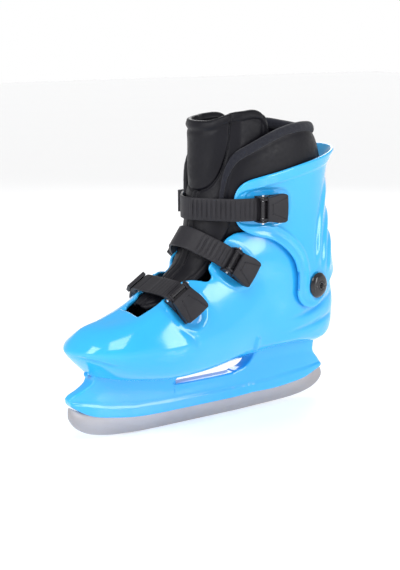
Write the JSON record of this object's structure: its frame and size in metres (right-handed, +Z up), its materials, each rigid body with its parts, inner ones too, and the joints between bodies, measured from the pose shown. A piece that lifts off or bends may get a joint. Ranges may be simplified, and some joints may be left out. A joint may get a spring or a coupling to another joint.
{
  "type": "ice skate",
  "caption": "Left hard-shell ice skate with hinged ankle cuff, padded liner, ratchet straps with lever buckles and a steel runner.",
  "frame": {"origin": "on the ice, under the middle of the whole skate", "axes": "+X to the toe, +Y to the outer side of a left foot, +Z up"},
  "size_m": [0.2918, 0.1068, 0.2739],
  "materials": {
    "shell_blue": "gloss",
    "runner_steel": "satin",
    "insole_fabric": "matt",
    "liner_leather": "satin",
    "cap_black": "gloss",
    "axle_chrome": "polished",
    "fastener_steel": "satin",
    "strap_charcoal": "matt"
  },
  "bodies": {
    "boot": {"lower_shell": "shell_blue", "blade_holder": "shell_blue", "runner": "runner_steel", "insole": "insole_fabric", "liner_foot": "liner_leather", "tongue_foot": "liner_leather", "sole_screw_front_outer": "fastener_steel", "sole_screw_front_inner": "fastener_steel", "sole_screw_rear_outer": "fastener_steel", "sole_screw_rear_inner": "fastener_steel", "ankle_bolt_outer": "cap_black", "ankle_nut_outer": "fastener_steel", "ankle_bolt_inner": "cap_black", "ankle_nut_inner": "fastener_steel", "buckle_base_mid": "strap_charcoal", "lever_axle_mid": "axle_chrome", "ladder_strap_mid": "strap_charcoal", "strap_keeper_mid": "strap_charcoal", "buckle_rivet_mid": "fastener_steel", "strap_rivet_mid": "fastener_steel", "buckle_base_low": "strap_charcoal", "lever_axle_low": "axle_chrome", "ladder_strap_low": "strap_charcoal", "strap_keeper_low": "strap_charcoal", "buckle_rivet_low": "fastener_steel", "strap_rivet_low": "fastener_steel"},
    "cuff_part": {"cuff": "shell_blue", "liner_collar": "liner_leather", "tongue_shin": "liner_leather", "buckle_base_top": "strap_charcoal", "lever_axle_top": "axle_chrome", "ladder_strap_top": "strap_charcoal", "strap_keeper_top": "strap_charcoal", "buckle_rivet_top": "fastener_steel", "strap_rivet_top": "fastener_steel"},
    "lever_top": {"buckle_lever_top": "strap_charcoal"},
    "pawl_top": {"buckle_pawl_top": "strap_charcoal"},
    "lever_mid": {"buckle_lever_mid": "strap_charcoal"},
    "pawl_mid": {"buckle_pawl_mid": "strap_charcoal"},
    "lever_low": {"buckle_lever_low": "strap_charcoal"},
    "pawl_low": {"buckle_pawl_low": "strap_charcoal"}
  },
  "joints": [
    {"name": "cuff_flex", "type": "hinge", "parent": "boot", "child": "cuff_part", "pos_m": [-0.10105, -0.0028, 0.118], "axis": [0, 1, 0], "range_deg": [-2, 3]},
    {"name": "lever_open_top", "type": "hinge", "parent": "cuff_part", "child": "lever_top", "pos_m": [-0.02802, 0.04757, 0.195], "axis": [0, 0, -1], "range_deg": [0, 95]},
    {"name": "pawl_lift_top", "type": "hinge", "parent": "cuff_part", "child": "pawl_top", "pos_m": [-0.02802, 0.04757, 0.195], "axis": [0, 0, -1], "range_deg": [0, 8], "stiffness_Nm_per_rad": 0.004},
    {"name": "lever_open_mid", "type": "hinge", "parent": "boot", "child": "lever_mid", "pos_m": [-0.00108, 0.04011, 0.15185], "axis": [0.6, 0, -0.8], "range_deg": [0, 95]},
    {"name": "pawl_lift_mid", "type": "hinge", "parent": "boot", "child": "pawl_mid", "pos_m": [-0.00108, 0.04011, 0.15185], "axis": [0.6, 0, -0.8], "range_deg": [0, 8], "stiffness_Nm_per_rad": 0.004},
    {"name": "lever_open_low", "type": "hinge", "parent": "boot", "child": "lever_low", "pos_m": [0.057, 0.03718, 0.13079], "axis": [0.848, 0, -0.53], "range_deg": [0, 95]},
    {"name": "pawl_lift_low", "type": "hinge", "parent": "boot", "child": "pawl_low", "pos_m": [0.057, 0.03718, 0.13079], "axis": [0.848, 0, -0.53], "range_deg": [0, 8], "stiffness_Nm_per_rad": 0.004}
  ]
}
